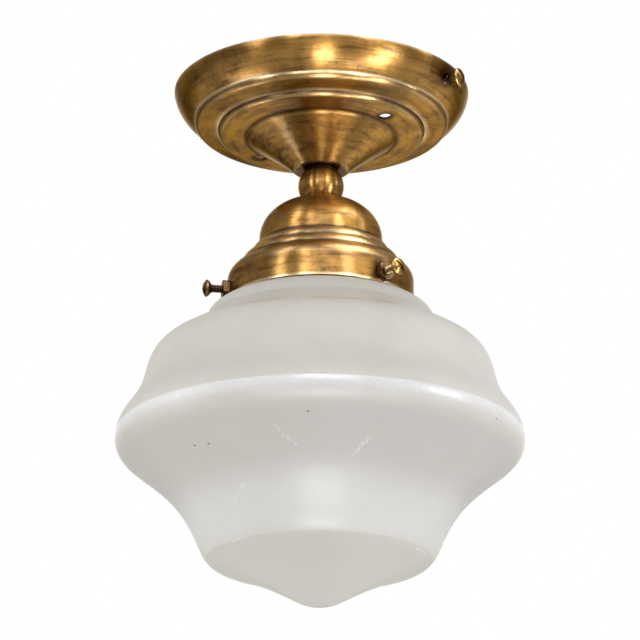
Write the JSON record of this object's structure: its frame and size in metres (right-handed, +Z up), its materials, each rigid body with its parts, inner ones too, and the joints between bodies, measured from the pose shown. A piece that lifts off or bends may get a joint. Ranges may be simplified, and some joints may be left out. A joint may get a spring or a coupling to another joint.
{
  "type": "schoolhouse ceiling light",
  "caption": "Semi-flush schoolhouse ceiling light: stepped brass canopy, ball neck and fitter whose thumb screws hold a ridged opal glass shade round a screw-base lamp.",
  "frame": {"origin": "on the ceiling plane at the axis of the canopy, at the top face of the ceiling strap", "axes": "+Z up out of the ceiling face, +X along the ceiling strap towards the canopy thumb screw"},
  "size_m": [0.204, 0.204, 0.272],
  "materials": {
    "aged_brass": "antique brass, brushed round and lightly patinated",
    "plain_brass": "plain brass",
    "zinc_steel": "zinc plated steel",
    "green_screw": "green dyed steel",
    "block_white": "moulded nylon",
    "opal_glass": "satin opal glass",
    "porcelain": "glazed porcelain",
    "bulb_glass": "frosted glass",
    "bulb_cap": "rolled aluminium",
    "bulb_insulator": "black vitrite",
    "solder": "dull solder",
    "lead_black": "sleeved wire",
    "lead_white": "sleeved wire",
    "bare_copper": "bare copper wire"
  },
  "bodies": {
    "fixture": {"block_screws": "zinc_steel", "bridge_screws": "zinc_steel", "canopy": "aged_brass", "canopy_lock_nut": "zinc_steel", "canopy_lock_washer": "zinc_steel", "canopy_pin": "zinc_steel", "ceiling_strap": "zinc_steel", "clamp_screws": "plain_brass", "fitter": "aged_brass", "fitter_nuts": "aged_brass", "fitter_washer": "zinc_steel", "ground_lead": "bare_copper", "ground_screw": "green_screw", "ground_tag": "plain_brass", "lead_line": "lead_black", "lead_neutral": "lead_white", "neck_ball": "aged_brass", "socket_body": "porcelain", "socket_bridge": "zinc_steel", "socket_contact": "plain_brass", "socket_shell": "plain_brass", "stem_nipple": "zinc_steel", "terminal_block": "block_white", "terminal_screws": "plain_brass"},
    "glass_shade": {"shade": "opal_glass"},
    "shade_screw_right": {"shade_screw_right": "aged_brass"},
    "shade_screw_left": {"shade_screw_left": "aged_brass"},
    "shade_screw_rear": {"shade_screw_rear": "aged_brass"},
    "canopy_screw": {"canopy_screw": "aged_brass"},
    "lamp": {"bulb_cap": "bulb_cap", "bulb_contact": "solder", "bulb_glass": "bulb_glass", "bulb_insulator": "bulb_insulator"}
  },
  "joints": [
    {"name": "shade_drop", "type": "slide", "parent": "fixture", "child": "glass_shade", "axis": [0, 0, -1], "range_m": [0, 0.018]},
    {"name": "shade_screw_right_out", "type": "slide", "parent": "fixture", "child": "shade_screw_right", "axis": [0.9455, -0.3256, 0], "range_m": [0, 0.009]},
    {"name": "shade_screw_left_out", "type": "slide", "parent": "fixture", "child": "shade_screw_left", "axis": [-0.7547, -0.6561, 0], "range_m": [0, 0.009]},
    {"name": "shade_screw_rear_out", "type": "slide", "parent": "fixture", "child": "shade_screw_rear", "axis": [-0.1908, 0.9816, 0], "range_m": [0, 0.009]},
    {"name": "canopy_screw_out", "type": "slide", "parent": "fixture", "child": "canopy_screw", "axis": [1, 0, 0], "range_m": [0, 0.006]},
    {"name": "lamp_turn", "type": "hinge", "parent": "fixture", "child": "lamp", "pos_m": [0, 0, -0.1], "axis": [0, 0, 1], "continuous": true}
  ],
  "couplings": [
    {"joint": "shade_screw_right_out", "follows": "shade_drop", "ratio": 0.5},
    {"joint": "shade_screw_left_out", "follows": "shade_drop", "ratio": 0.5},
    {"joint": "shade_screw_rear_out", "follows": "shade_drop", "ratio": 0.5}
  ]
}
